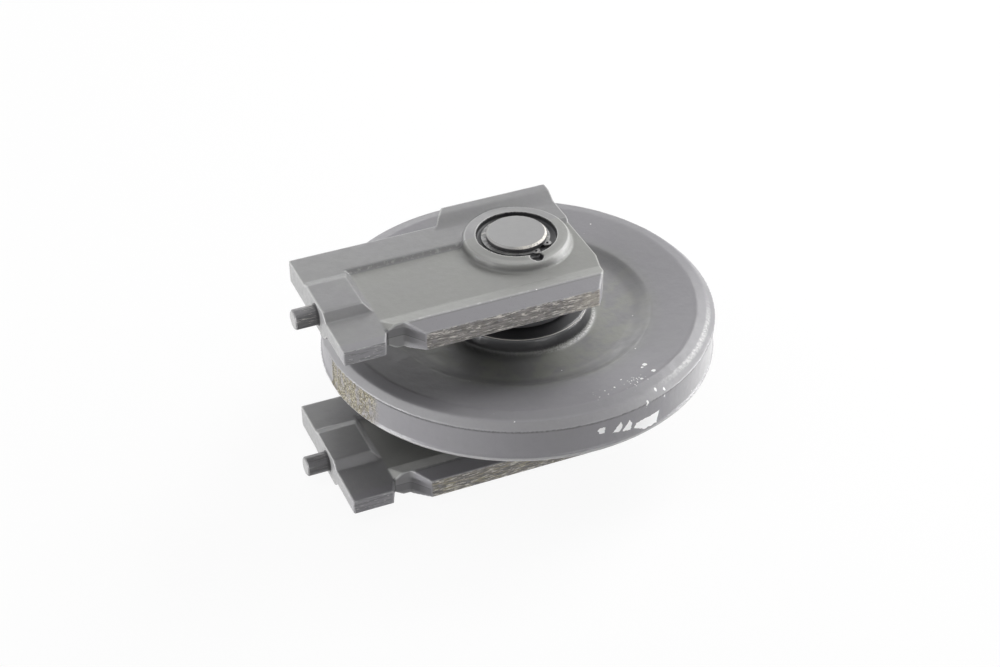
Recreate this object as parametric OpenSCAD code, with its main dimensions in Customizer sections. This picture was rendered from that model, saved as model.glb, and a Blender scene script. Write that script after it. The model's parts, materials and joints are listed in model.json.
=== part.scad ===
// Excavator front idler: a cast wheel that runs on a fixed shaft between two forged slide brackets.
// Origin at the wheel's centre. +Z along the shaft, +X towards the front, stub pins towards -X.
// The lower half mirrors the upper half about the wheel's mid-plane.

/* [Wheel] */
// Diameter over the rim lips
wheel_d = 400; // [360:1:480]
// Width of the rim
rim_w = 54; // [50:1:64]
// Radial width of the land on top of the rim
rim_land_w = 12.7; // [6:0.1:18]
// Fall of the land towards the tread
rim_land_drop = 3; // [0.5:0.5:4]
// Radial width of the chamfer outside the land
rim_chamfer_w = 7; // [4:1:12]
// Height of that chamfer
rim_chamfer_h = 7; // [4:0.5:8]
// Depth of the tread below the rim lips
tread_depth = 2; // [1:0.5:4]
// Width of the tread between the rim lips
tread_w = 30; // [22:1:31]
// Radius of the crease where the dish begins
crease_r = 135; // [122:1:145]
// Drop from the rim land to the crease
crease_drop = 6; // [3:0.5:8]
// Radial run of the hollow curve from the crease down to the web
dish_run = 28; // [16:1:36]
// Thickness of the web
web_t = 27; // [18:1:32]
// Diameter of the hub at its end faces
hub_d = 144; // [130:1:150]
// Diameter of the hub where it meets the web
hub_root_d = 152; // [146:1:166]
// Length of the hub between its end faces
hub_l = 60; // [56:1:72]

/* [Shaft and bushings] */
// Shaft diameter
shaft_d = 60; // [50:1:70]
// Chamfer on the shaft's ends
shaft_chamfer = 2; // [1:0.5:3]
// How far the shaft stands proud of the bracket bosses
shaft_proud = 2.7; // [0.5:0.1:6]
// Wall of the bronze bushings
bush_wall = 6; // [4:0.5:8]
// Oil space between the two bushings
oil_gap = 3; // [2:0.5:8]
// Diameter of the oil way along the shaft
oil_way_d = 8; // [5:0.5:12]
// Diameter of the oil plug in the shaft's lower end
plug_d = 14; // [13:0.5:20]
// Length of the oil plug
plug_l = 12; // [9:0.5:20]
// Hexagon socket of the oil plug, across its corners
plug_socket_d = 7; // [5:0.5:9]
// Depth of the plug below the shaft's end
plug_sink = 1; // [0.5:0.5:4]

/* [Face seals] */
// Gap between the hub's end and the bracket's collar
hub_gap = 2; // [1:0.5:5]
// Wall of the thrust nose round the shaft, inside the seal
nose_wall = 5; // [3:0.5:6]
// Radial room between the thrust nose and the seal rings
ring_room = 1; // [0.5:0.5:3]
// Wall of a seal ring's neck
ring_neck_wall = 4.5; // [3:0.5:7]
// Thickness of a seal ring's face flange
ring_face_t = 4; // [2:0.5:5]
// How far the face flange stands out from the neck
ring_flange_w = 4.5; // [2:0.5:5]
// Section diameter of the seal's rubber ring
seal_rubber_d = 7.3; // [5:0.1:9]
// Width of the contact gap between the two seal faces
face_gap = 0.1; // [0.05:0.05:0.2]

/* [Bracket thicknesses] */
// Distance between the two brackets' mid-planes
bracket_span = 178.8; // [170:0.2:200]
// Thickness of the thin floor between the raised parts
floor_t = 15.4; // [12:0.2:18]
// Thickness of the far strip
strip_t = 24; // [20:1:28]
// Thickness of the rear pad round the stub pin
pad_t = 31.4; // [28:0.2:35]
// Thickness at the crest of the near lip
lip_t = 28.8; // [24:0.2:34]
// Height of the worn near rail face
rail_face_h = 19.6; // [14:0.2:23]
// Height of the far rail's top above the bracket's mid-plane
far_rail_h = 19.1; // [16:0.1:22]

/* [Bracket outline] */
// Distance from the shaft axis back to the rear face
rear_reach = 218.3; // [210:0.1:250]
// Distance from the shaft axis forward to the front face
front_reach = 62; // [59:1:68]
// Distance from the shaft axis to the far edge
far_edge = 53.6; // [50:0.2:58]
// Distance from the shaft axis to the far rail's face
far_rail_y = 72.5; // [70:0.5:84]
// Width of the flat top of the far rail
far_rail_top_w = 12.5; // [8:0.5:16]
// Width of the hollow slope inside the far rail
far_rail_slope_w = 13; // [8:1:16]
// Front to back length of the far rail
far_rail_l = 113; // [94:1:120]
// Front to back run of the shoulder behind the far rail
shoulder_run = 12; // [4:1:24]
// Distance from the shaft axis to the near rail's face
near_rail_y = 110.9; // [106:0.1:122]
// Width of the slope between the lip's crest and the near rail's face
rail_slope_w = 18.4; // [12:0.2:24]
// Width of the ramp from the floor up to the lip's crest
lip_ramp_w = 21; // [8:1:26]
// Front to back run of the lip's rear end
lip_run = 10; // [4:1:20]
// Distance from the shaft axis to the near block's edge
block_edge_y = 106; // [102:0.5:110]
// Length of the near block behind the notch
block_l = 41.3; // [36:0.1:44]
// Depth of the notch from the near rail's face
notch_depth = 20; // [12:0.5:22]
// Length of the notch's root
notch_root_l = 17; // [12:1:26]
// Front to back run of the notch's front wall
notch_run = 15; // [4:1:22]
// Corner radius in the notch's root
notch_r = 4; // [2:0.5:8]
// Length of the rear pad, down to the floor in front of it
pad_l = 48; // [44:1:60]
// Front to back run of the slope in front of the pad
pad_front_run = 8; // [4:1:12]
// Far edge of the pad, from the shaft axis
pad_far_y = 9; // [2:1:12]
// Width of the riser along that edge
pad_riser_w = 10; // [4:1:12]
// Width of the pad's top, with its riser
pad_w = 57; // [48:1:62]
// Width of the slope from the pad down to the near block
pad_slope_w = 8; // [4:1:16]
// Near edge of the far strip, from the shaft axis
strip_near_y = 15.5; // [14:0.5:24]
// Width of the step from the strip down to the floor
strip_step_w = 4; // [2:0.5:8]
// Front corner cut: length along the front face
front_cut_y = 58; // [40:1:66]
// Front corner cut: length along the near rail
front_cut_x = 23.5; // [15:0.5:32]
// Knee of that cut: distance behind the front face
front_knee_x = 8; // [4:1:12]
// Knee of that cut: distance inside the near rail's face
front_knee_y = 25; // [18:1:30]

/* [Bracket boss] */
// Height of the boss's inner edge above the bracket's mid-plane
boss_h = 17.5; // [16:0.5:22]
// Fall of the boss's top towards its outer edge
boss_fall = 1.5; // [0.5:0.5:4]
// Radial room round the shaft for the snap ring
counterbore_room = 10; // [9:0.5:12]
// Depth of that counterbore
counterbore_depth = 6; // [5:0.5:9]
// Width of the boss's top outside the counterbore
boss_wall = 12; // [9:0.5:13]
// Outward flare at the foot of the boss
boss_flare = 3; // [1:0.5:4]
// Wall of the inner collar outside the seal
collar_wall = 9; // [6:0.5:10]
// Radius of the relief beside the snap ring's gap
relief_r = 6.5; // [4:0.5:8]
// Depth of that relief below the boss's inner edge
relief_depth = 9; // [6:0.5:12]

/* [Pins and rings] */
// Diameter of the stub pins
stub_pin_d = 20; // [16:0.5:24]
// Free length of the stub pins behind the rear face
stub_pin_l = 23; // [18:1:32]
// Radial step from the stub pins' free end up to their pressed shank
stub_step = 1; // [0.5:0.25:1.5]
// Length of that shank
stub_shank_l = 34; // [24:1:40]
// Distance of the stub pins from the shaft axis, towards the near rail
stub_pin_y = 27.3; // [22:0.1:32]
// Thickness of the snap rings
snap_t = 2.5; // [2:0.25:3.5]
// Depth of the snap ring groove in the shaft
snap_groove_depth = 2; // [1:0.25:3]
// Radial width of the snap ring beyond the shaft
snap_w = 4; // [2.5:0.25:5]
// Diameter of the lock pins between shaft and bracket
lock_pin_d = 6; // [4:0.5:8]
// Length of the lock pins
lock_pin_l = 20; // [14:1:26]
// Section diameter of the rubber ring round the shaft
shaft_rubber_d = 3; // [2:0.25:4]

/* [Fits] */
// Radial running clearance between bushing and shaft
run_fit = 0.05; // [0.02:0.01:0.09]
// Radial clearance of parts that are pushed or pressed together
push_fit = 0.03; // [0.01:0.01:0.06]
// Clearance round rubber rings
rubber_fit = 0.1; // [0.05:0.05:0.3]
// End play between a bushing and the thrust nose
end_play = 0.3; // [0.2:0.05:0.8]

/* [Hidden] */
$fn = 96;

paint_grey = [0.56, 0.56, 0.55];
bare_steel = [0.42, 0.42, 0.43];
bronze = [0.72, 0.53, 0.26];
black_rubber = [0.09, 0.09, 0.09];

// Overshoot that keeps a cutter clear of the face it opens
over = 1;

// Wheel levels and radii
wheel_r = wheel_d / 2;
rim_z = rim_w / 2;
land_z = rim_z - rim_land_drop;
lip_z = land_z - rim_chamfer_h;
land_out_r = wheel_r - rim_chamfer_w;
land_in_r = land_out_r - rim_land_w;
web_z = web_t / 2;
crease_z = rim_z - crease_drop;
dish_r = crease_r - dish_run;
dish_drop = crease_z - web_z;
dish_curve_r = (dish_run * dish_run + dish_drop * dish_drop) / (2 * dish_drop);
dish_end_angle = 2 * atan(dish_drop / dish_run);
hub_z = hub_l / 2;
hub_r = hub_d / 2;
hub_root_r = hub_root_d / 2;
hub_foot_w = 4;
hub_foot_z = 1.5;
edge_break = 1.5;
corner_steps = 5;

// Seal radii, built outwards from the shaft
shaft_r = shaft_d / 2;
nose_r = shaft_r + nose_wall;
ring_bore_r = nose_r + ring_room;
ring_neck_r = ring_bore_r + ring_neck_wall;
ring_face_r = ring_neck_r + ring_flange_w;
seal_rubber_r = seal_rubber_d / 2;
seal_rubber_path_r = ring_neck_r + rubber_fit + seal_rubber_r;
pocket_r = seal_rubber_path_r + seal_rubber_r + rubber_fit;

// Seal levels, built outwards from the seal face
collar_z = hub_z + hub_gap;
seal_z = hub_z + hub_gap / 2;
ring_face_z = seal_z - face_gap / 2;
ring_flange_z = ring_face_z - ring_face_t;
seal_rubber_z = ring_flange_z - rubber_fit - seal_rubber_r;
pocket_z = seal_rubber_z - seal_rubber_r - rubber_fit;
ring_end_z = pocket_z + ring_room;

// Bushings
bush_r = shaft_r + bush_wall;
bush_bore_r = shaft_r + run_fit;
bush_start_z = oil_gap / 2;
bush_end_z = pocket_z;
nose_z = bush_end_z + end_play;

// Bracket levels
bracket_z = bracket_span / 2;
boss_z = bracket_z + boss_h;
counterbore_z = boss_z - counterbore_depth;
shaft_half_l = boss_z + shaft_proud;
counterbore_r = shaft_r + counterbore_room;
boss_r = counterbore_r + boss_wall;
boss_foot_r = boss_r + boss_flare;
collar_r = pocket_r + collar_wall;
tall = 2 * (far_rail_h + over);

// Bracket outline
rear_x = -rear_reach;
far_rail_x = front_reach - far_rail_l;
block_x = rear_x + block_l;
pad_foot_x = rear_x + pad_l;
pad_top_x = pad_foot_x - pad_front_run;
pad_near_y = pad_far_y - pad_w;
crest_y = rail_slope_w - near_rail_y;
notch_y = notch_depth - near_rail_y;
notch_draft = 6.6;
notch_x = block_x + notch_draft;
rail_x = notch_x + notch_root_l + notch_run;

// Stub pin, snap ring, lock pin and shaft rubber
stub_pin_r = stub_pin_d / 2;
stub_shank_r = stub_pin_r + stub_step;
snap_z = counterbore_z + push_fit;
groove_r = shaft_r - snap_groove_depth;
snap_gap_angle = -60.5;
snap_lug_spread = 16.5;
snap_lug_r = 4.2;
snap_hole_r = 1.4;
snap_offset = 1;
relief_angle = -86.5;
relief_reach = 4;
lock_angle = 105;
lock_pin_r = lock_pin_d / 2;
lock_z = counterbore_z - lock_pin_l;
shaft_rubber_r = shaft_rubber_d / 2;
shaft_rubber_z = (collar_z + lock_z) / 2;
shaft_rubber_path_r = shaft_r - shaft_rubber_r;
plug_fit = 0.05;
socket_share = 0.55;

// Points of an arc that rounds corner b between a and c
function unit(v) = v / norm(v);
function corner(a, b, c, r) =
    let (u = unit(a - b), w = unit(c - b))
    let (half = acos(max(-1, min(1, u * w))) / 2)
    r <= 0 || half > 89 ? [b] :
    let (back = r / tan(half), mid = b + unit(u + w) * r / sin(half))
    let (from = b + u * back - mid, to = b + w * back - mid)
    let (turn = 180 - 2 * half, dir = from.x * to.y - from.y * to.x > 0 ? 1 : -1)
    [for (i = [0:corner_steps])
        let (t = dir * turn * i / corner_steps)
        mid + [from.x * cos(t) - from.y * sin(t), from.x * sin(t) + from.y * cos(t)]];

// Outline with a rounding radius at each point, given as [x, y, radius]
function flat(p) = [p.x, p.y];
function soft(path) =
    let (n = len(path))
    [for (i = [0:n - 1])
        each corner(flat(path[(i + n - 1) % n]), flat(path[i]), flat(path[(i + 1) % n]), path[i].z)];

// Outline closed by its own mirror image below the axis
function reversed(path) = [for (i = [len(path) - 1:-1:0]) path[i]];
function both_sides(half) = concat(half, [for (p = reversed(half)) [p.x, -p.y, p.z]]);

module lower() {
    mirror([0, 0, 1]) children();
}

module along_x(x0, x1) {
    translate([x0, 0, 0]) rotate([90, 0, 90]) linear_extrude(x1 - x0) children();
}

module along_y(y0, y1) {
    translate([0, y1, 0]) rotate([90, 0, 0]) linear_extrude(y1 - y0) children();
}

module tube(r_in, r_out, z0, z1) {
    translate([0, 0, z0]) difference() {
        cylinder(r = r_out, h = z1 - z0);
        translate([0, 0, -over]) cylinder(r = r_in, h = z1 - z0 + 2 * over);
    }
}

module rubber_ring(path_r, section_r, z) {
    translate([0, 0, z]) rotate_extrude() translate([path_r, 0]) circle(section_r);
}

// Wheel: upper half of the section, from the bore out to the tread
function dish_curve() = [for (i = [0:corner_steps])
    let (t = dish_end_angle * i / corner_steps)
    [dish_r + dish_curve_r * sin(t), web_z + dish_curve_r * (1 - cos(t)), 0]];

function wheel_half() = concat(
    [[bush_r + push_fit, pocket_z, 0],
     [pocket_r, pocket_z, 0],
     [pocket_r, hub_z, 0],
     [hub_r - edge_break, hub_z, 0],
     [hub_r, hub_z - edge_break, 0],
     [hub_root_r, web_z + hub_foot_z, edge_break],
     [hub_root_r + hub_foot_w, web_z, edge_break]],
    dish_curve(),
    [[land_in_r, rim_z, 6],
     [land_out_r, land_z, 2],
     [wheel_r, lip_z, 1],
     [wheel_r, tread_w / 2 + tread_depth / 2, 0],
     [wheel_r - tread_depth, tread_w / 2, 1]]);

module idler_wheel() {
    color(paint_grey) rotate_extrude($fn = 180) polygon(soft(both_sides(wheel_half())));
}

module bushing() {
    color(bronze) tube(bush_bore_r, bush_r, bush_start_z, bush_end_z);
}

// Face seal: a metal ring with a face flange, carried by a rubber ring on its neck
module rotating_seal_ring() {
    color(bare_steel) rotate_extrude() polygon([
        [ring_bore_r, ring_end_z], [ring_neck_r, ring_end_z], [ring_neck_r, ring_flange_z],
        [ring_face_r, ring_flange_z], [ring_face_r, ring_face_z], [ring_bore_r, ring_face_z]]);
}

module rotating_seal_rubber() {
    color(black_rubber) rubber_ring(seal_rubber_path_r, seal_rubber_r, seal_rubber_z);
}

module across_the_seal() {
    translate([0, 0, 2 * seal_z]) mirror([0, 0, 1]) children();
}

module fixed_seal_ring() {
    across_the_seal() rotating_seal_ring();
}

module fixed_seal_rubber() {
    across_the_seal() rotating_seal_rubber();
}

// Shaft with snap ring grooves, rubber grooves, lock pin slots and the oil way
module shaft_turning() {
    rotate_extrude() polygon([
        [0, -shaft_half_l], [shaft_r - shaft_chamfer, -shaft_half_l],
        [shaft_r, -shaft_half_l + shaft_chamfer], [shaft_r, shaft_half_l - shaft_chamfer],
        [shaft_r - shaft_chamfer, shaft_half_l], [0, shaft_half_l]]);
}

module shaft_end_cuts() {
    tube(groove_r, shaft_r + over, snap_z - push_fit, snap_z + snap_t + push_fit);
    tube(shaft_rubber_path_r - shaft_rubber_r - rubber_fit, shaft_r + over,
        shaft_rubber_z - shaft_rubber_r - rubber_fit, shaft_rubber_z + shaft_rubber_r + rubber_fit);
    lock_pin_shape(push_fit, over);
}

module shaft() {
    color(bare_steel) difference() {
        shaft_turning();
        shaft_end_cuts();
        lower() shaft_end_cuts();
        translate([0, 0, -shaft_half_l - over])
            cylinder(d = plug_d + 2 * plug_fit, h = plug_sink + plug_l + over + plug_fit);
        translate([0, 0, -shaft_half_l]) cylinder(d = oil_way_d, h = shaft_half_l + oil_way_d / 2);
        rotate([90, 0, 0]) cylinder(d = oil_gap, h = 2 * shaft_r + 2 * over, center = true);
    }
}

module oil_plug() {
    color(bare_steel) translate([0, 0, -shaft_half_l + plug_sink]) difference() {
        cylinder(d = plug_d, h = plug_l);
        translate([0, 0, -over]) cylinder(d = plug_socket_d, h = plug_l * socket_share + over, $fn = 6);
    }
}

module shaft_rubber() {
    color(black_rubber) rubber_ring(shaft_rubber_path_r, shaft_rubber_r, shaft_rubber_z);
}

// Lock pin: half in the shaft and half in the bracket, under the snap ring
module lock_pin_shape(fit, top) {
    rotate(lock_angle) translate([shaft_r, 0, lock_z - fit])
        cylinder(r = lock_pin_r + fit, h = lock_pin_l + fit + top);
}

module lock_pin() {
    color(bare_steel) lock_pin_shape(0, 0);
}

// Snap ring: wider opposite its gap, with a lug and a plier hole at each end
module snap_ring() {
    lug_path_r = groove_r + push_fit + snap_lug_r;
    color(bare_steel) translate([0, 0, snap_z]) linear_extrude(snap_t) rotate(snap_gap_angle) difference() {
        union() {
            translate([-snap_offset, 0]) circle(shaft_r + snap_w);
            for (side = [-1, 1]) rotate(side * snap_lug_spread) translate([lug_path_r, 0]) circle(snap_lug_r);
        }
        circle(groove_r + push_fit);
        translate([shaft_r, 0]) square([4 * snap_w, 2 * snap_lug_r], center = true);
        for (side = [-1, 1]) rotate(side * snap_lug_spread) translate([lug_path_r, 0]) circle(snap_hole_r);
    }
}

// Stub pin: a stepped pin whose wider shank is pressed into the rear pad, flush with the rear face
module stub_pin() {
    color(bare_steel) translate([rear_x, -stub_pin_y, bracket_z]) rotate([0, -90, 0]) rotate_extrude()
        polygon([
            [0, -stub_shank_l], [stub_shank_r, -stub_shank_l],
            [stub_shank_r, 0], [stub_pin_r, 0],
            [stub_pin_r, stub_pin_l - edge_break],
            [stub_pin_r - edge_break, stub_pin_l], [0, stub_pin_l]]);
}

// Point past b on the line from a, where a slope runs on into the floor
run_on = 0.4;
function past(a, b) = [b.x + (b.x - a.x) * run_on, b.y + (b.y - a.y) * run_on, 0];

// Bracket sections across the bracket, given from the far edge to the near edge
function strip_section() = both_sides([
    [far_edge, strip_t / 2, 2],
    [strip_near_y, strip_t / 2, 1.5],
    past([strip_near_y, strip_t / 2], [strip_near_y - strip_step_w, floor_t / 2])]);

function pad_section() = both_sides([
    [far_edge - over, strip_t / 2, 0],
    [pad_far_y, strip_t / 2, 2],
    [pad_far_y - pad_riser_w, pad_t / 2, 3],
    [pad_near_y, pad_t / 2, 3],
    past([pad_near_y, pad_t / 2], [pad_near_y - pad_slope_w, floor_t / 2])]);

function lip_section() = both_sides([
    past([crest_y, lip_t / 2], [crest_y + lip_ramp_w, floor_t / 2]),
    [crest_y, lip_t / 2, 3],
    [-near_rail_y, rail_face_h / 2, 1]]);

function far_rail_section() = soft([
    [strip_near_y + over, -strip_t / 2, 0],
    [far_rail_y, -strip_t / 2, 2],
    [far_rail_y, far_rail_h, 2],
    [far_rail_y - far_rail_top_w, far_rail_h, 4],
    [far_rail_y - far_rail_top_w - far_rail_slope_w, strip_t / 2, 12],
    [strip_near_y + over, strip_t / 2, 0]]);

// Bracket side views: the slope in front of the pad and the rear end of the lip
function pad_side() = both_sides([
    [rear_x - over, pad_t / 2, 0],
    [pad_top_x, pad_t / 2, 2],
    past([pad_top_x, pad_t / 2], [pad_foot_x, floor_t / 2])]);

function lip_side() = both_sides([
    [front_reach + over, lip_t / 2, 0],
    [pad_foot_x + lip_run, lip_t / 2, 4],
    past([pad_foot_x + lip_run, lip_t / 2], [pad_foot_x, floor_t / 2])]);

// Bracket seen along the shaft
function bracket_plan() = soft([
    [rear_x, far_edge, 2],
    [far_rail_x - shoulder_run, far_edge, 3],
    [far_rail_x, far_rail_y, 3],
    [front_reach, far_rail_y, 2],
    [front_reach, front_cut_y - near_rail_y, 6],
    [front_reach - front_knee_x, front_knee_y - near_rail_y, 6],
    [front_reach - front_cut_x, -near_rail_y, 2],
    [rail_x, -near_rail_y, 2],
    [rail_x - notch_run, notch_y, notch_r],
    [notch_x, notch_y, notch_r / 2],
    [block_x, -block_edge_y, 1],
    [rear_x, -block_edge_y, 2]]);

module bracket_slab() {
    intersection() {
        translate([0, 0, -tall / 2]) linear_extrude(tall) polygon(bracket_plan());
        union() {
            translate([rear_x - over, -near_rail_y - over, -floor_t / 2])
                cube([rear_reach + front_reach + 2 * over, near_rail_y + far_rail_y + 2 * over, floor_t]);
            along_x(rear_x - over, front_reach + over) polygon(soft(strip_section()));
            intersection() {
                along_x(rear_x - over, pad_foot_x + pad_l) polygon(soft(pad_section()));
                along_y(-near_rail_y, far_edge) polygon(soft(pad_side()));
            }
            intersection() {
                along_x(rear_x, front_reach + over) polygon(soft(lip_section()));
                along_y(-near_rail_y - over, far_edge) polygon(soft(lip_side()));
            }
            far_rail();
        }
    }
}

// Far rail, cut at the back along the line of its shoulder
module far_rail() {
    lean = shoulder_run / (far_rail_y - far_edge);
    intersection() {
        along_x(far_rail_x - lean * far_rail_y, front_reach + over) polygon(far_rail_section());
        translate([0, 0, -tall / 2]) linear_extrude(tall) polygon([
            [far_rail_x - lean * far_rail_y, 0], [far_rail_x + lean * over, far_rail_y + over],
            [front_reach + over, far_rail_y + over], [front_reach + over, 0]]);
    }
}

// Boss outside the floor and collar with thrust nose inside it
module bracket_turning() {
    rotate_extrude() polygon(soft([
        [0, nose_z, 0],
        [nose_r, nose_z, 0],
        [nose_r, 2 * seal_z - pocket_z, 0],
        [pocket_r, 2 * seal_z - pocket_z, 0],
        [pocket_r, collar_z, 0],
        [collar_r, collar_z, 2],
        [collar_r, bracket_z, 0],
        [boss_foot_r, bracket_z, 0],
        [boss_foot_r, bracket_z + floor_t / 2, 1],
        [boss_r, boss_z - boss_fall, 2],
        [counterbore_r, boss_z, 0],
        [0, boss_z, 0]]));
}

module bracket() {
    color(paint_grey) difference() {
        union() {
            translate([0, 0, bracket_z]) bracket_slab();
            bracket_turning();
        }
        translate([0, 0, nose_z - over]) cylinder(r = shaft_r + push_fit, h = boss_z - nose_z + 2 * over);
        translate([0, 0, counterbore_z]) cylinder(r = counterbore_r, h = counterbore_depth + over);
        rotate(relief_angle) translate([counterbore_r + relief_reach, 0, boss_z - relief_depth])
            cylinder(r = relief_r, h = relief_depth + over);
        lock_pin_shape(push_fit, over);
        translate([rear_x - over, -stub_pin_y, bracket_z]) rotate([0, 90, 0])
            cylinder(r = stub_shank_r + push_fit, h = stub_shank_l + over);
    }
}

idler_wheel();
bushing();  // bushing_upper
lower() bushing();  // bushing_lower
rotating_seal_ring();  // rotating_seal_ring_upper
lower() rotating_seal_ring();  // rotating_seal_ring_lower
rotating_seal_rubber();  // rotating_seal_rubber_upper
lower() rotating_seal_rubber();  // rotating_seal_rubber_lower
bracket();  // bracket_upper
lower() bracket();  // bracket_lower
shaft();
fixed_seal_ring();  // fixed_seal_ring_upper
lower() fixed_seal_ring();  // fixed_seal_ring_lower
fixed_seal_rubber();  // fixed_seal_rubber_upper
lower() fixed_seal_rubber();  // fixed_seal_rubber_lower
shaft_rubber();  // shaft_rubber_upper
lower() shaft_rubber();  // shaft_rubber_lower
snap_ring();  // snap_ring_upper
lower() snap_ring();  // snap_ring_lower
stub_pin();  // stub_pin_upper
lower() stub_pin();  // stub_pin_lower
lock_pin();  // lock_pin_upper
lower() lock_pin();  // lock_pin_lower
oil_plug();
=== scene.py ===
"""Looks of an excavator front idler: a painted wheel on its shaft between two forged slide brackets."""

import json
from math import cos, hypot, pi, radians, sin

import bpy
from mathutils import Matrix, Vector, noise

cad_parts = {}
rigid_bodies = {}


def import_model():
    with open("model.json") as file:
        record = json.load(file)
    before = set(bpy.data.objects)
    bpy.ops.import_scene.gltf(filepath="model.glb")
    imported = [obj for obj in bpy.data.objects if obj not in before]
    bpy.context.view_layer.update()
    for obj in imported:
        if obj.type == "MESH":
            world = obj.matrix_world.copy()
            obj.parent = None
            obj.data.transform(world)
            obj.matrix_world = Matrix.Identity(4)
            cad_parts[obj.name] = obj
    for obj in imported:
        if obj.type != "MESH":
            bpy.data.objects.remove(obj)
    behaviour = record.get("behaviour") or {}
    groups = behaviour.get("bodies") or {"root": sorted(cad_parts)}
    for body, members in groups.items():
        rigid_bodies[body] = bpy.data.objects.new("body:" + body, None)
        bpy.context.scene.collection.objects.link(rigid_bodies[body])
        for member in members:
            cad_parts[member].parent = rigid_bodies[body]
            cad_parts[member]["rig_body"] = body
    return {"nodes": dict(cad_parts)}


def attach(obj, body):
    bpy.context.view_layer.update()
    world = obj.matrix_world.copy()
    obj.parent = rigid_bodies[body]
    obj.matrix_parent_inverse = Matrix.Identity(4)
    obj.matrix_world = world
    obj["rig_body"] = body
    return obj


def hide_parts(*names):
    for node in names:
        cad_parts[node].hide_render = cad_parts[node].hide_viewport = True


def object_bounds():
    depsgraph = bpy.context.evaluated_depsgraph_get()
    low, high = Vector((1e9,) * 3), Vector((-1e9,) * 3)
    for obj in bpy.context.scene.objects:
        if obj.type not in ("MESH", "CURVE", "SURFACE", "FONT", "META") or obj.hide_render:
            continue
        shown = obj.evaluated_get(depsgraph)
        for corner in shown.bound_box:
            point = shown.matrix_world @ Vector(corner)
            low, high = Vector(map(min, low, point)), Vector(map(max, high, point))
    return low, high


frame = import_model()
cad_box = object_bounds()
MM = 0.001


def reach(node):
    """Lowest and highest corner of a CAD node's box, in millimetres."""
    points = [point.co / MM for point in frame["nodes"][node].data.vertices]
    return [Vector([pick(p[i] for p in points) for i in range(3)]) for pick in (min, max)]


# Places that the finishes go by, in millimetres. Radii and angles are about the shaft's axis, x is towards
# the front, near is towards the scraped rails, and levels are counted from the wheel's middle plane.
bracket_low = reach("bracket_upper")[0]
wheel_high = reach("idler_wheel")[1]
shaft_high = reach("shaft")[1]

# Wheel: tread, lip under the chamfer, outer edge of the rim's land, crease and floor of the dish, hub
TREAD_R = wheel_high.x - 2
TREAD_LEVEL = 15
LIP_LEVEL = 17
LAND_R = wheel_high.x - 7
LAND_LEVEL = 24
CREASE_R = 135
WEB_LEVEL = 13.5
HUB_FOOT_R = 76
HUB_R = 72
HUB_LEVEL = wheel_high.z

# Bracket, along x: rear face, rear block, rear of the notch, foot of the rear pad, near lip, front of the
# notch, end of the far strip
REAR_X = bracket_low.x
BLOCK_X = REAR_X + 41.3
NOTCH_REAR_X = REAR_X + 46.3
PAD_X = REAR_X + 48.3
LIP_X = REAR_X + 78.3
NOTCH_FRONT_X = REAR_X + 78.8
STRIP_X = -49

# Bracket, across: face of the near rail, near face of the block, crest of the lip, notch, step to the strip
RAIL_NEAR = -bracket_low.y
BLOCK_NEAR = RAIL_NEAR - 4.9
CREST_NEAR = RAIL_NEAR - 18.4
NOTCH_NEAR = RAIL_NEAR - 23.9
STEP_FOOT_Y = 11.5
STEP_TOP_Y = 15.5

# Bracket, by level: collar, near rail, middle of the forging, floor, seat of the snap ring, boss
COLLAR_LEVEL = 78
RAIL_LOW = 80
RAIL_HIGH = 99
MIDDLE_LEVEL = 89.4
FLOOR_LEVEL = 97
SEAT_LEVEL = 100.9
BOSS_LEVEL = 106.9

# Bracket, round the shaft: counterbore, boss and its foot, collar, and the relief beside the snap ring
BORE_R = 40
BOSS_R = 52
BOSS_FOOT_R = 55
COLLAR_R = 77
RELIEF_X, RELIEF_Y, RELIEF_R = 2.7, -43.9, 6.5

# Shaft and stub pins
SHAFT_R = shaft_high.x
SHAFT_LEVEL = shaft_high.z
PIN_X = reach("stub_pin_upper")[0].x

# Chips on the tread: angle in degrees and height of their corners
CHIPS = (
    ((-90.96, 4.5), (-90.4, 6.7), (-89.2, 6.9), (-88.65, 6.3), (-88.87, -0.6), (-90.5, 0.2)),
    ((-86.2, -3.3), (-83.8, 6.7), (-83.5, 5.2), (-83.3, -0.6), (-84.15, -4.9)),
    ((-83.3, -5.6), (-80.96, 4.3), (-80.0, 0.1), (-80.5, -7.9)),
    ((-79.3, -7.6), (-78.4, -2.4), (-70.1, -1.3), (-70.7, -9.6), (-71.0, -14.0), (-75.7, -14.1)),
)
CHIP_EDGE = 0.2

# Knocks on the land: angle in degrees, radius and size
KNOCKS = (
    (-64.2, 162.5, 2.6), (-66.0, 163.7, 1.4), (-65.5, 176.4, 2.2),
    (-71.3, 176.8, 1.6), (-80.6, 170.7, 1.2), (-76.0, 163.6, 1.0),
    (-70.9, 194.3, 1.6), (-68.1, 196.8, 1.4), (-75.0, 199.0, 1.5),
)

# Speckled patches of the land: angles in degrees, then radii, each from, to and how softly they fade
SPECKLED = (((-88, -83, 1.5), (168, 182, 3)), ((-77, -70, 2), (169, 184, 4)))

# Rusty stretch of the tread, by angle in degrees: the dark line where it starts, and where it fades out
RUST_START = -179.0
RUST_FADE, RUST_END = -156, -152

# Other marks round the axis, by angle in degrees: from, to and how softly they fade
# The chamfer's darker stretch: painted shade
CHAMFER_DARK = (-55, 70, 15)
# The tread's lighter stretch: a painted sheen
TREAD_SHEEN = (-55, 40, 20)
# The land's bright stretch: a painted highlight
LAND_STREAK = (-64, -28, 12)
HUB_GRITTY = (-85, 10, 30)
# The shaft rim's bright stretch: wear and a painted highlight
SHAFT_WORN_AND_HIGHLIGHT = (-110, 35, 15)


def linear(red, green, blue):
    """A display colour, from 0 to 255, as the linear colour that a shader takes."""
    parts = [c / 255 for c in (red, green, blue)]
    return (*[((c + 0.055) / 1.055) ** 2.4 if c > 0.04045 else c / 12.92 for c in parts], 1.0)


def grey(level):
    return linear(level, level, level)
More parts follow.
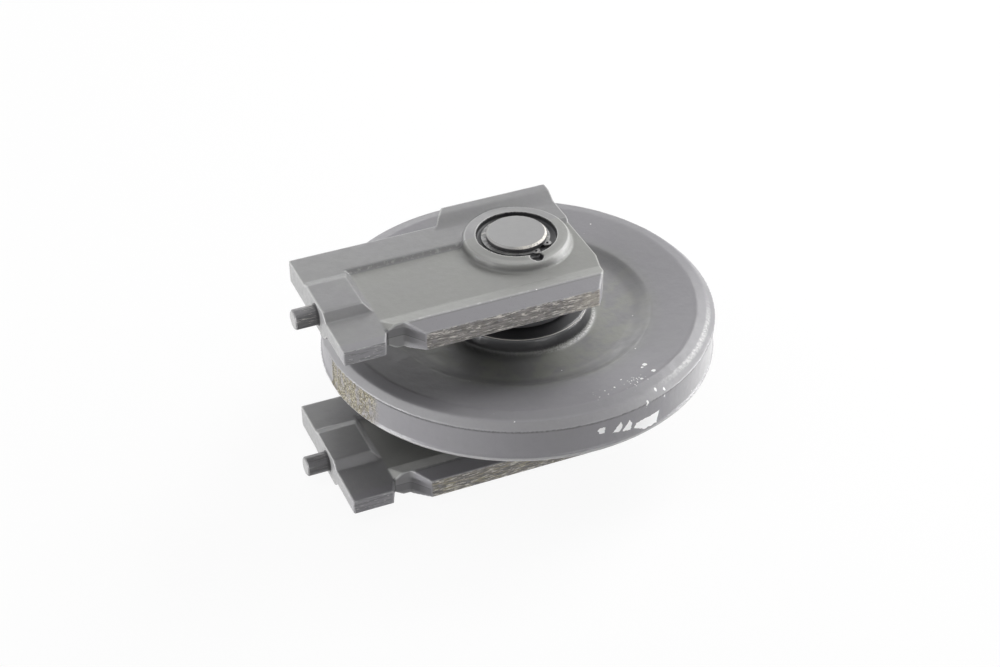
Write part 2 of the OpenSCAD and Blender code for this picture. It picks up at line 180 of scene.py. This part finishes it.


# Colours of the paint, the bare steel, the rust, the rubber and the bronze; the pale and dark greys are
# also laid as painted highlights and painted shade
GREY = grey(139)
GREY_OLIVE = linear(148, 149, 141)
GREY_VIOLET = linear(138, 136, 142)
GREY_DARK = linear(104, 103, 106)
# Pale dust, which is also laid as painted highlight
DUST_AND_HIGHLIGHT = linear(208, 208, 207)
CHIP = grey(250)
SCRAPED = linear(138, 134, 131)
SCRAPED_DARK = linear(108, 105, 102)
SCRAPED_PALE = linear(176, 170, 161)
SCRAPED_OLIVE = linear(150, 145, 124)
BARE = linear(226, 222, 214)
RUST = linear(86, 80, 66)
RUST_CREAM = linear(190, 184, 162)
# Dark oily steel, which is also laid as painted shade
OILY_AND_SHADE = linear(58, 58, 60)
RUBBER = grey(22)
RUBBER_WORN = grey(38)
BRONZE = linear(176, 136, 72)
BRONZE_PALE = linear(196, 158, 92)

# Specks: how far their outline wanders, and the edge over which they fade, in shares of their size
SPECK_WANDER = 1.6
SPECK_INNER, SPECK_OUTER = 0.8, 1.1

# Depth of the orange peel, of scratches and of the bronze's grain
PEEL_DEPTH = 0.2 * MM
SCRATCH_DEPTH = 0.1 * MM
GRAIN_DEPTH = 0.05 * MM


class Value:
    """A value that varies over a surface. Arithmetic on it adds Math nodes to its finish."""

    def __init__(self, finish, socket):
        self.finish = finish
        self.socket = socket

    def math(self, operation, *numbers):
        return self.finish.node("ShaderNodeMath", {"operation": operation}, dict(enumerate(numbers)))

    def __add__(self, other):
        return self.math("ADD", self, other)

    __radd__ = __add__

    def __sub__(self, other):
        return self.math("SUBTRACT", self, other)

    def __rsub__(self, other):
        return self.math("SUBTRACT", other, self)

    def __mul__(self, other):
        return self.math("MULTIPLY", self, other)

    __rmul__ = __mul__

    def __pow__(self, other):
        return self.math("POWER", self, other)

    def __abs__(self):
        return self.math("ABSOLUTE", self)

    def most(self, other):
        return self.math("MAXIMUM", self, other)

    def rise(self, low, high):
        """0 below low, 1 above high, and smooth between them. It falls where high is below low."""
        sockets = {"Value": self, "From Min": low, "From Max": high}
        return self.finish.node("ShaderNodeMapRange", {"interpolation_type": "SMOOTHSTEP"}, sockets)

    def band(self, low, high, soft):
        """1 between low and high, fading over soft on each side."""
        return self.rise(low - soft, low + soft) * self.rise(high + soft, high - soft)

    def other(self, out):
        """Another output of the same node."""
        return Value(self.finish, self.socket.node.outputs[out])


class Shading:
    """A node tree, in which one method makes every node."""

    def __init__(self, tree):
        self.tree = tree

    def node(self, kind, settings=None, sockets=None, out=0):
        """Makes a node, with its settings first and then its sockets, and gives one of its outputs."""
        made = self.tree.nodes.new(kind)
        for name, value in (settings or {}).items():
            setattr(made, name, value)
        for key, value in (sockets or {}).items():
            self.feed(made.inputs[key], value)
        return Value(self, made.outputs[out]) if made.outputs else made

    def feed(self, socket, value):
        """Links a socket to a value, or sets it to a number or colour."""
        if isinstance(value, Value):
            self.tree.links.new(value.socket, socket)
        else:
            socket.default_value = value

    def seen(self):
        """1 for what the camera sees, directly, in a reflection or through glass, and 0 for light."""
        ray = self.node("ShaderNodeLightPath", out="Is Camera Ray")
        return ray.most(ray.other("Is Glossy Ray")).most(ray.other("Is Transmission Ray"))


class Finish(Shading):
    """A material with one Principled shader, fed by values that vary over the surface."""

    def __init__(self, name, sockets=None):
        self.material = bpy.data.materials.new(name)
        self.material.use_nodes = True
        super().__init__(self.material.node_tree)
        self.shader = self.tree.nodes["Principled BSDF"]
        self.dip(sockets or {})
        self.place = self.counted(self.node("ShaderNodeTexCoord", out="Object"), (MM, MM, MM))
        self.x = self.node("ShaderNodeSeparateXYZ", sockets={0: self.place}, out="X")
        self.y, self.z = self.x.other("Y"), self.x.other("Z")

    def dip(self, sockets):
        """Feeds the shader's own sockets."""
        for key, value in sockets.items():
            self.feed(self.shader.inputs[key], value)

    def counted(self, place, lengths):
        """A place, counted in steps of the given lengths along x, y and z."""
        return self.node("ShaderNodeVectorMath", {"operation": "DIVIDE"}, {0: place, 1: lengths})

    def radius(self):
        """Distance from the shaft's axis."""
        return (self.x * self.x + self.y * self.y) ** 0.5

    def away(self, x, y):
        """Distance from a line beside the shaft's axis."""
        return ((self.x - x) ** 2 + (self.y - y) ** 2) ** 0.5

    def turn(self):
        """Angle round the shaft's axis in degrees, from the front."""
        return self.y.math("ARCTAN2", self.y, self.x) * (180 / pi)

    def bend(self):
        """0 on flat surfaces, above it on edges and below it in corners."""
        return self.node("ShaderNodeNewGeometry", out="Pointiness") - 0.5

    def noise(self, size, detail=4.0, roughness=0.55):
        """Cloudy noise, whose clouds are about size across, or have three sizes."""
        lengths = size if isinstance(size, tuple) else (size, size, size)
        place = self.counted(self.place, lengths)
        return self.node("ShaderNodeTexNoise", sockets={
            "Vector": place, "Scale": 1.0, "Detail": detail, "Roughness": roughness})

    def specks(self, spacing, size, share):
        """Ragged spots of about the given size, in a share of the cells of a loose grid."""
        cells = self.node("ShaderNodeTexVoronoi", sockets={"Vector": self.place, "Scale": 1 / spacing})
        pick = self.node("ShaderNodeSeparateColor", sockets={0: cells.other("Color")})
        ragged = cells * spacing + (self.noise(size) - 0.5) * (SPECK_WANDER * size)
        spots = ragged.rise(SPECK_OUTER * size, SPECK_INNER * size)
        return spots * pick.rise(1 - share, 1.01 - share)

    def patch(self, along, across, corners, ragged):
        """1 inside a convex outline, whose corners are given along and across a surface."""
        middle = [sum(c[i] for c in corners) / len(corners) for i in (0, 1)]
        inside = 1.0
        for (a, b), (c, d) in zip(corners, corners[1:] + corners[:1]):
            side = hypot(c - a, d - b)
            east, north = (d - b) / side, (a - c) / side
            sign = 1 if (middle[0] - a) * east + (middle[1] - b) * north > 0 else -1
            depth = (along - a) * (sign * east) + (across - b) * (sign * north) + ragged
            inside = depth.rise(-CHIP_EDGE, CHIP_EDGE) * inside
        return inside

    def mix(self, mask, under, over):
        """One colour over another. The Mix node's colours are its sockets 6 and 7 and its output 2."""
        return self.node("ShaderNodeMix", {"data_type": "RGBA"}, {0: mask, 6: under, 7: over}, out=2)

    def surface(self, colour, roughness, metallic, height, depth):
        bump = self.node("ShaderNodeBump", sockets={"Height": height, "Distance": depth, "Strength": 1.0})
        self.dip({"Base Color": colour, "Roughness": roughness, "Metallic": metallic, "Normal": bump})
        return self.material


class Coat:
    """Colour, roughness and height of a paint, over which marks are laid one by one."""

    def __init__(self, finish, colour, roughness, height):
        self.finish, self.colour, self.roughness, self.height = finish, colour, roughness, height

    def lay(self, mask, colour, roughness=None):
        """Lays a mark of one colour, which may have a roughness of its own."""
        self.colour = self.finish.mix(mask, self.colour, colour)
        if roughness is not None:
            self.roughness = self.roughness * (1 - mask) + roughness * mask

    def done(self, depth):
        return self.finish.surface(self.colour, self.roughness, 0.0, self.height, depth)


def painted(name):
    """Mottled grey paint with orange peel over a cast skin, its edges lighter as wear and painted
    highlight, its corners darker as painted shade.
    """
    finish = Finish(name)
    clouds = finish.noise(60, 3.0).rise(0.35, 0.65)
    fine = finish.noise(9, 5.0).rise(0.3, 0.7)
    peel = finish.noise(1.6, 2.0) * 0.4 + finish.noise(7, 3.0)
    coat = Coat(finish, finish.mix(clouds * 0.3, GREY, GREY_VIOLET), 0.33 + 0.1 * fine, peel)
    coat.lay(fine * 0.12, GREY_DARK)
    bend = finish.bend()
    # Edges lighter, partly wear and partly a painted highlight; corners darker as painted shade
    coat.lay(bend.rise(0.008, 0.04) * 0.45, DUST_AND_HIGHLIGHT)
    coat.lay(bend.rise(-0.008, -0.05) * 0.45, GREY_DARK)
    return coat


def bracket_paint():
    """Paint on the brackets, scraped off the near rails where they slide, oily and darkened as painted
    shade in the bores, with painted highlights and painted shade at edges and steps.
    """
    coat = painted("bracket_paint")
    f = coat.finish
    near, level, radius = 0 - f.y, abs(f.z), f.radius()
    ragged = f.noise(5, 5.0, 0.65)

    # Painted tint of the light: olive on the floor, which faces up, and violet on the slopes below the
    # crest, which face the front
    floor_face = near.band(0.5 - STEP_FOOT_Y, CREST_NEAR - 2.5, 1) * f.x.rise(PAD_X - 2, PAD_X + 2)
    coat.lay(floor_face * 0.4, GREY_OLIVE)
    coat.lay(near.rise(CREST_NEAR + 1.5, CREST_NEAR + 3.5) * 0.5, GREY_VIOLET)

    # Boss: pale edges and a lighter near flank, which are painted highlights, with a dark line round its
    # foot, which is painted shadow
    top = level.rise(FLOOR_LEVEL - 1, FLOOR_LEVEL)
    coat.lay(top * radius.band(BOSS_R - 5, BOSS_R + 3, 2) * near.rise(10, 40) * 0.22, DUST_AND_HIGHLIGHT)
    mouth = radius.band(BORE_R + 0.4, BORE_R + 1.4, 0.4) * level.rise(BOSS_LEVEL - 1.9, BOSS_LEVEL - 0.9)
    coat.lay(top * mouth * 0.35, DUST_AND_HIGHLIGHT)
    coat.lay(top * radius.band(BOSS_R - 1.2, BOSS_R + 0.4, 0.6) * ragged * 0.25, DUST_AND_HIGHLIGHT)
    coat.lay(top * radius.band(BOSS_FOOT_R - 1.6, BOSS_FOOT_R - 0.4, 0.6) * 0.35, GREY_DARK)

    # Crest of the near lip: a pale edge that is a painted highlight flecked with dust, with a dark line
    # below it, and a pitted slope
    crest = f.x.rise(LIP_X - 10, LIP_X)
    pale_edge = crest * near.band(CREST_NEAR - 3.5, CREST_NEAR + 0.3, 1)
    coat.lay(pale_edge * (0.1 + 0.4 * ragged.rise(0.5, 0.7)), DUST_AND_HIGHLIGHT)
    dark_line = crest * near.band(CREST_NEAR + 1.1, CREST_NEAR + 2.1, 0.5)
    coat.lay(dark_line * ragged.rise(0.3, 0.5) * 0.5, GREY_DARK)
    coat.lay(crest * near.band(CREST_NEAR - 2.5, CREST_NEAR + 1.5, 1) * f.specks(9, 0.8, 0.25), CHIP)
    slope = near.band(CREST_NEAR + 3.5, RAIL_NEAR + 1.1, 1.5)
    coat.lay(slope * f.specks(3, 0.6, 0.3) * 0.3, GREY_DARK)

    # Step below the far strip: dark along both edges, which is painted shade, with dust between
    step = f.x.band(BLOCK_X + 1, STRIP_X, 1) * level.rise(FLOOR_LEVEL - 1, FLOOR_LEVEL - 0.5)
    riser = step * f.y.band(STEP_FOOT_Y + 0.5, STEP_TOP_Y - 0.5, 0.8)
    coat.lay(riser * (0.1 + 0.4 * ragged.rise(0.5, 0.62)), DUST_AND_HIGHLIGHT)
    foot_line = f.y.band(STEP_FOOT_Y - 0.7, STEP_FOOT_Y + 0.1, 0.4)
    top_line = f.y.band(STEP_TOP_Y - 0.1, STEP_TOP_Y + 0.5, 0.3)
    coat.lay(step * foot_line.most(top_line) * 0.5, GREY_DARK)

    # Rear faces and near faces of the block: scuffed
    grain = f.noise((16, 3, 1.8), 4.0, 0.6)
    fine_grain = f.noise((8, 2, 1.3), 2.0, 0.6)
    rear_face = f.x.rise(REAR_X + 0.7, REAR_X + 0.3)
    coat.lay(rear_face * (0.08 + 0.12 * f.noise(2.5).rise(0.45, 0.6)), DUST_AND_HIGHLIGHT)
    block = near.rise(BLOCK_NEAR - 1, BLOCK_NEAR - 0.3) * f.x.rise(BLOCK_X + 1, BLOCK_X - 1)
    coat.lay(block * grain.rise(0.5, 0.62) * 0.6, GREY_DARK, 0.6)
    coat.lay(block * fine_grain.rise(0.6, 0.68) * 0.7, DUST_AND_HIGHLIGHT, 0.6)

    # Near rail: scraped, olive on the lower bracket, palest at its front end and along its edges
    rail = (near + ragged * 3).rise(RAIL_NEAR + 0.7, RAIL_NEAR + 1.5)
    coat.lay(rail, f.mix(grain.rise(0.4, 0.58), SCRAPED_DARK, SCRAPED), 0.5)
    coat.lay(rail * f.z.rise(0, -10) * grain.rise(0.5, 0.58), SCRAPED_OLIVE)
    coat.lay(rail * (f.x + ragged * 40).rise(15, 50) * 0.8, SCRAPED_PALE)
    edge = level.rise(RAIL_HIGH - 7, RAIL_HIGH) + level.rise(RAIL_LOW + 6, RAIL_LOW) * 0.4
    coat.lay(rail * (fine_grain + edge * 0.05).rise(0.56, 0.66) * 0.75, BARE, 0.4)
    coat.lay(rail * fine_grain.rise(0.42, 0.34) * 0.5, OILY_AND_SHADE)

    # Oily steel in the counterbore and the relief, and on the collar, darkened there as painted shade
    bore = radius.rise(BORE_R + 0.4, BORE_R - 0.1) * level.rise(SEAT_LEVEL - 0.9, SEAT_LEVEL - 0.5)
    relief = f.away(RELIEF_X, RELIEF_Y).rise(RELIEF_R + 0.9, RELIEF_R + 0.3)
    relief = relief * level.band(FLOOR_LEVEL - 3, BOSS_LEVEL - 1.9, 0.4)
    collar = radius.rise(COLLAR_R + 1, COLLAR_R - 1) * level.rise(COLLAR_LEVEL + 1, COLLAR_LEVEL)
    coat.lay(bore.most(relief).most(collar), OILY_AND_SHADE, 0.5)

    # Notch: darker above the forging's parting line, with a dark line along it, and darker in its rear
    # corner as painted shade
    notch = near.rise(NOTCH_NEAR - 1, NOTCH_NEAR) * f.x.band(NOTCH_REAR_X, NOTCH_FRONT_X, 0.5)
    coat.lay(notch * level.band(MIDDLE_LEVEL, FLOOR_LEVEL + 1, 0.3) * 0.6, GREY_DARK)
    notch_corner = f.x.band(NOTCH_REAR_X + 0.5, NOTCH_REAR_X + 3, 0.5)
    coat.lay(near.rise(NOTCH_NEAR + 1, NOTCH_NEAR + 2) * notch_corner * 0.5, OILY_AND_SHADE)
    coat.lay(notch * level.band(MIDDLE_LEVEL - 0.3, MIDDLE_LEVEL + 0.3, 0.3) * 0.6, OILY_AND_SHADE)

    # Small chips all over
    coat.lay(f.specks(16, 0.6, 0.1), CHIP)
    return coat.done(PEEL_DEPTH)


def wheel_paint():
    """Paint on the wheel, with a rusty stretch and chips on the tread, a dark hub of oily steel and painted
    shade, and painted highlights and painted shade round the rim and in the dish.
    """
    coat = painted("wheel_paint")
    f = coat.finish
    radius, turn, level = f.radius(), f.turn(), abs(f.z)
    along = turn * (radians(1) * TREAD_R)
    ragged = f.noise(3, 4.0, 0.6)
    wander = (ragged - 0.5) * 3

    # Painted tint of the light: olive in patches inside the crease, and violet outside it
    coat.lay(f.noise(25).rise(0.4, 0.6) * radius.rise(CREASE_R + 5, CREASE_R - 5) * 0.7, GREY_OLIVE)
    coat.lay(radius.rise(CREASE_R, CREASE_R + 15) * 0.5, GREY_VIOLET)

    # Painted shade in the dish's corner, and the land darker along its outer edge
    coat.lay(radius.band(CREASE_R - 17, CREASE_R - 1, 5) * 0.6, GREY_DARK)
    coat.lay(radius.band(LAND_R - 12, LAND_R - 1.5, 2) * 0.4, GREY_DARK)

    # Chamfer: lighter as a painted highlight, and darker towards the front as painted shade
    rim = radius.rise(LAND_R - 1, LAND_R + 1.5)
    chamfer = rim * level.rise(LIP_LEVEL - 0.4, LIP_LEVEL + 1.5)
    coat.lay(chamfer * (0.12 + 0.1 * ragged), DUST_AND_HIGHLIGHT)
    coat.lay(chamfer * turn.band(*CHAMFER_DARK) * 0.5, GREY_DARK)

    # Tread: a dark line under the upper lip, which is painted shadow, a pale lower edge, which is a painted
    # highlight, and a painted sheen towards the front
    lip_line = rim * f.z.band(LIP_LEVEL - 3.2, LIP_LEVEL - 0.4, 1)
    coat.lay(lip_line * (0.5 + 0.3 * ragged.rise(0.4, 0.6)), OILY_AND_SHADE)
    coat.lay(rim * f.z.band(-LIP_LEVEL, 1.4 - LIP_LEVEL, 0.5) * 0.4, DUST_AND_HIGHLIGHT)
    tread = rim * level.rise(TREAD_LEVEL + 0.4, TREAD_LEVEL - 1)
    coat.lay(tread * turn.band(*TREAD_SHEEN) * 0.5, DUST_AND_HIGHLIGHT)

    # Speckled painted highlight along a stretch of the land's outer edge
    streak = radius.band(LAND_R - 2.5, LAND_R + 1.6, 1.2) * level.rise(LAND_LEVEL - 3.5, LAND_LEVEL - 2)
    coat.lay(streak * turn.band(*LAND_STREAK) * (0.15 + 0.6 * ragged.rise(0.4, 0.6)), DUST_AND_HIGHLIGHT)

    # Rusty stretch of the tread, which starts at a dark line
    stretch = (turn + ragged * 5).rise(RUST_END, RUST_FADE)
    stretch = stretch * level.rise(LIP_LEVEL + 0.2, LIP_LEVEL - 0.8) * rim
    grains = f.noise((1.3, 1.3, 2), 3.0, 0.75).rise(0.44, 0.62)
    coat.lay(stretch * (0.3 + 0.7 * ragged.rise(0.36, 0.5)), f.mix(grains, RUST, RUST_CREAM), 0.7)
    coat.lay(stretch * f.noise((7, 7, 25), 3.0).rise(0.5, 0.6) * 0.6, GREY_VIOLET, 0.5)
    coat.lay(stretch * f.noise(6).rise(0.5, 0.62) * 0.55, RUST)
    start = abs(along - radians(RUST_START) * TREAD_R).rise(0.9, 0.4)
    coat.lay(start * rim * level.rise(LIP_LEVEL, LIP_LEVEL - 1), OILY_AND_SHADE)

    # Chips down to bright steel on the tread
    for corners in CHIPS:
        outline = [(radians(angle) * TREAD_R, height) for angle, height in corners]
        coat.lay(f.patch(along, f.z, outline, wander) * rim, CHIP, 0.35)

    # Specks and spots where the land was knocked, and small chips all over
    upper = f.z.rise(WEB_LEVEL - 3.5, WEB_LEVEL - 1.5)
    specks = f.specks(3, 0.7, 0.6)
    for angles, radii in SPECKLED:
        coat.lay(upper * turn.band(*angles) * radius.band(*radii) * specks, CHIP)
    for angle, out, size in KNOCKS:
        spot = f.away(out * cos(radians(angle)), out * sin(radians(angle)))
        coat.lay(upper * (spot + wander).rise(size, SPECK_INNER * size), CHIP)
    coat.lay(f.specks(13, 0.7, 0.16), CHIP)

    # Dark hub, partly oily steel and partly painted shade, with a bright edge, which is a painted
    # highlight, and pale grit round its foot
    hub = radius.rise(HUB_FOOT_R + 0.2, HUB_FOOT_R - 0.6) * level.rise(WEB_LEVEL + 1.5, WEB_LEVEL + 4.5)
    coat.lay(hub, OILY_AND_SHADE, 0.3)
    hub_edge = radius.band(HUB_R - 0.8, HUB_R + 0.6, 0.3) * level.rise(HUB_LEVEL - 1.6, HUB_LEVEL - 0.8)
    coat.lay(hub_edge, BARE, 0.25)
    foot = radius.band(HUB_FOOT_R - 0.4, HUB_FOOT_R + 3, 1.2) * level.rise(WEB_LEVEL + 6.5, WEB_LEVEL + 3.5)
    grit = f.noise(1.5, 3.0, 0.7).rise(0.44, 0.58)
    coat.lay(foot * grit * (0.2 + 0.6 * turn.band(*HUB_GRITTY)), DUST_AND_HIGHLIGHT)
    return coat.done(PEEL_DEPTH)


def shaft_paint():
    """Painted shaft ends, with a bright rim, bare from wear and brightened as a painted highlight, and dark
    sides of dark steel and painted shade.
    """
    coat = painted("shaft_paint")
    f = coat.finish
    radius, level = f.radius(), abs(f.z)
    ragged = f.noise(3, 4.0, 0.6)
    coat.lay(0.25 + 0.1 * ragged, GREY_DARK)
    # Sides: dark steel and painted shade
    side = radius.rise(SHAFT_R - 0.4, SHAFT_R - 0.1).most(level.rise(SHAFT_LEVEL - 2.6, SHAFT_LEVEL - 3))
    coat.lay(side, f.mix(ragged, OILY_AND_SHADE, GREY_DARK), 0.45)
    # Rim: bare from wear, and brightest where a painted highlight is laid
    rim = radius.rise(SHAFT_R - 2.4, SHAFT_R - 1.8) * level.rise(SHAFT_LEVEL - 2.4, SHAFT_LEVEL - 1.8)
    worn_and_highlight = f.turn().band(*SHAFT_WORN_AND_HIGHLIGHT) * ragged.rise(0.35, 0.5)
    coat.lay(rim * (0.15 + 0.85 * worn_and_highlight), BARE, 0.3)
    return coat.done(SCRATCH_DEPTH)


def pin_paint(name, bare):
    """Scratched pins: dark paint, with a share of bare steel along them, a foot darkened as painted shade
    and an end face lightened as a painted highlight.
    """
    coat = painted(name)
    f = coat.finish
    scratches = f.noise((20, 1.2, 1.2), 4.0, 0.65)
    coat.lay(0.55 + 0.3 * f.noise(5), GREY_DARK)
    coat.lay(scratches.rise(0.58, 0.66) * bare, BARE, 0.3)
    coat.lay(scratches.rise(0.42, 0.34) * 0.6, OILY_AND_SHADE, 0.4)
    # Painted shade at the foot, where the pin goes into the bracket
    coat.lay(f.x.rise(REAR_X - 3.7, REAR_X - 0.7) * 0.6, OILY_AND_SHADE)
    # Painted highlight on the end face
    coat.lay(f.x.rise(PIN_X + 0.9, PIN_X + 0.3) * 0.3, DUST_AND_HIGHLIGHT)
    return coat.done(SCRATCH_DEPTH)


def bare_steel(name, colour, shade, roughness):
    """Turned or drawn steel with fine scratches."""
    finish = Finish(name)
    scratches = finish.noise((11, 1.1, 1.1), 4.0, 0.6)
    patches = finish.noise(8)
    tone = finish.mix(patches.rise(0.4, 0.6), colour, shade)
    tone = finish.mix(scratches.rise(0.56, 0.66) * 0.5, tone, BARE)
    return finish.surface(tone, roughness + 0.15 * patches, 0.6, scratches, SCRATCH_DEPTH)


def rubber():
    """Black rubber of the seals, with a fine grain."""
    finish = Finish("seal_rubber")
    grain = finish.noise(1.2)
    tone = finish.mix(grain, RUBBER, RUBBER_WORN)
    return finish.surface(tone, 0.6 + 0.1 * grain, 0.0, grain, SCRATCH_DEPTH)


def bronze():
    """Cast and turned bronze of the bushings."""
    finish = Finish("bushing_bronze")
    grain = finish.noise(3)
    tone = finish.mix(grain, BRONZE, BRONZE_PALE)
    return finish.surface(tone, 0.3 + 0.1 * grain, 0.9, grain, GRAIN_DEPTH)


# Lumps of a cast skin and their finer grain, and the radius within which the wheel is machined smooth
LUMP = 14 * MM
LUMP_GRAIN = 5 * MM
MACHINED_R = 85 * MM


def roughened(mesh, rough):
    """Moves a mesh's points in or out by about rough, outside the machined middle."""
    skin = [(point.co.copy(), point.normal.copy()) for point in mesh.vertices]
    for point, (place, out) in zip(mesh.vertices, skin):
        if place.xy.length > MACHINED_R:
            lump = noise.noise(place / LUMP) + 0.6 * noise.noise(place / LUMP_GRAIN)
            point.co = place + out * (rough * lump)


def rounded_copy(node, name, voxel, passes, rough=0.0):
    """A copy of a CAD node with the soft edges and rough skin of a casting, which stands for that node."""
    source = frame["nodes"][node]
    piece = bpy.data.objects.new(name, source.data.copy())
    bpy.context.scene.collection.objects.link(piece)
    skin = piece.modifiers.new("skin", "REMESH")
    skin.mode = "VOXEL"
    skin.voxel_size = voxel
    soften = piece.modifiers.new("soften", "SMOOTH")
    soften.factor = 0.5
    soften.iterations = passes
    bpy.context.view_layer.update()
    shaped = piece.evaluated_get(bpy.context.evaluated_depsgraph_get())
    piece.data = bpy.data.meshes.new_from_object(shaped)
    piece.modifiers.clear()
    if rough:
        roughened(piece.data, rough)
    piece.data.shade_smooth()
    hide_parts(node)
    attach(piece, source["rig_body"])
    return piece


def dress(piece, material):
    piece.data.materials.clear()
    piece.data.materials.append(material)


def camera():
    """The photograph's camera: its direction, roll, distance, aim and lens."""
    azimuth = radians(-22.806)
    elevation = radians(35.869)
    roll = radians(-0.591)
    distance = 2.01744
    aim_right, aim_up = 0.01699, 0.011824
    lens, sensor = 71.562, 36
    back = Vector((sin(azimuth) * cos(elevation), -cos(azimuth) * cos(elevation), sin(elevation)))
    level = Vector((cos(azimuth), sin(azimuth), 0))
    upright = back.cross(level)
    right = level * cos(roll) + upright * sin(roll)
    up = upright * cos(roll) - level * sin(roll)
    pose = Matrix((right, up, back)).transposed().to_4x4()
    pose.translation = distance * back - aim_right * right - aim_up * up
    eye = bpy.data.objects.new("photo_camera", bpy.data.cameras.new("photo_camera"))
    eye.data.sensor_fit = "HORIZONTAL"
    eye.data.sensor_width = sensor
    eye.data.lens = lens
    eye.data.clip_start = 0.05
    eye.matrix_world = pose
    bpy.context.scene.collection.objects.link(eye)
    bpy.context.scene.camera = eye


# Large soft lamps: place, width and height in metres, and power in watts
SOFTBOXES = {
    "top_softbox": ((0.1, 0.2, 2.6), 1.3, 1.3, 10.6),
    "back_right_softbox": ((1.9, 0.8, 1.7), 1.4, 1.2, 48.7),
    "back_softbox": ((0.1, 2.8, 1.2), 2.0, 1.2, 18.5),
    "left_softbox": ((-2.8, 0.2, 0.06), 2.0, 0.3, 78.4),
    "left_high_softbox": ((-1.8, 0.3, 2.0), 1.3, 1.3, 13.3),
    "right_softbox": ((2.8, -0.5, 0.06), 2.0, 0.3, 63.8),
    "right_high_softbox": ((2.2, -0.9, 1.4), 1.3, 1.2, 12.7),
    "front_softbox": ((0.9, -2.7, 0.06), 2.0, 0.3, 25.0),
}
WHITE = (1, 1, 1, 1)

# Floor of the studio: half its side in metres, the grey that throws light back, and the share of what is
# seen that is plain white, without the shadow
GROUND_HALF = 12.0
GROUND_GREY = (0.4, 0.4, 0.4, 1)
GROUND_WHITE = 0.93


def softbox(name, place, width, height, power):
    """A large soft lamp at a place, turned to the wheel's centre."""
    lamp = bpy.data.objects.new(name, bpy.data.lights.new(name, "AREA"))
    lamp.data.shape = "RECTANGLE"
    lamp.data.size, lamp.data.size_y = width, height
    lamp.data.energy = power
    lamp.location = place
    lamp.rotation_euler = Vector(place).to_track_quat("Z", "Y").to_euler()
    bpy.context.scene.collection.objects.link(lamp)


def white_studio():
    """White surroundings, which are seen, also in reflections, and give no other light."""
    world = bpy.data.worlds.new("white_studio")
    bpy.context.scene.world = world
    world.use_nodes = True
    world.node_tree.nodes.clear()
    room = Shading(world.node_tree)
    dark, white = (room.node("ShaderNodeBackground", sockets={"Color": WHITE, "Strength": strength})
        for strength in (0.0, 1.0))
    shown = room.node("ShaderNodeMixShader", sockets={0: room.seen(), 1: dark, 2: white})
    room.node("ShaderNodeOutputWorld", sockets={"Surface": shown})


def floor():
    """A floor that is seen as white with the object's shadow, and throws back less light."""
    low = cad_box[0].z
    corners = [(x * GROUND_HALF, y * GROUND_HALF, low) for x, y in ((-1, -1), (1, -1), (1, 1), (-1, 1))]
    mesh = bpy.data.meshes.new("floor")
    mesh.from_pydata(corners, [], [(0, 1, 2, 3)])
    ground = bpy.data.objects.new("floor", mesh)
    bpy.context.scene.collection.objects.link(ground)
    finish = Finish("floor_white", {"Base Color": GROUND_GREY, "Roughness": 1.0, "Specular IOR Level": 0.0})
    matt = Value(finish, finish.shader.outputs[0])
    white = finish.node("ShaderNodeBsdfDiffuse", sockets={"Color": WHITE})
    glow = finish.node("ShaderNodeEmission", sockets={"Color": WHITE, "Strength": 1.0})
    shown = finish.node("ShaderNodeMixShader", sockets={0: GROUND_WHITE, 1: white, 2: glow})
    shown = finish.node("ShaderNodeMixShader", sockets={0: finish.seen(), 1: matt, 2: shown})
    finish.feed(finish.tree.nodes["Material Output"].inputs["Surface"], shown)
    dress(ground, finish.material)


camera()
white_studio()
floor()
for name, lamp in SOFTBOXES.items():
    softbox(name, *lamp)
bpy.context.scene.view_settings.view_transform = "Standard"

# Brackets and wheel are rounded copies of their nodes
bracket_finish = bracket_paint()
for side in ("upper", "lower"):
    forging = rounded_copy("bracket_" + side, "bracket_forging_" + side, voxel=1.1 * MM, passes=2)
    dress(forging, bracket_finish)
casting = rounded_copy("idler_wheel", "wheel_casting", voxel=1.4 * MM, passes=3, rough=0.12 * MM)
dress(casting, wheel_paint())

# The other nodes take the first finish whose word is in their name
plain_steel = bare_steel("lock_pin_steel", grey(110), grey(90), 0.35)
finishes = {
    "rubber": rubber(),
    "seal_ring": bare_steel("seal_steel", grey(160), grey(140), 0.25),
    "snap_ring": bare_steel("spring_steel", grey(150), grey(120), 0.4),
    "stub_pin_upper": pin_paint("pin_bare", 0.8),
    "stub_pin_lower": pin_paint("pin_painted", 0.25),
    "lock_pin": plain_steel,
    "oil_plug": plain_steel,
    "bushing": bronze(),
    "shaft": shaft_paint(),
}
for name, node in frame["nodes"].items():
    kinds = [kind for kind in finishes if kind in name]
    if kinds:
        dress(node, finishes[kinds[0]])
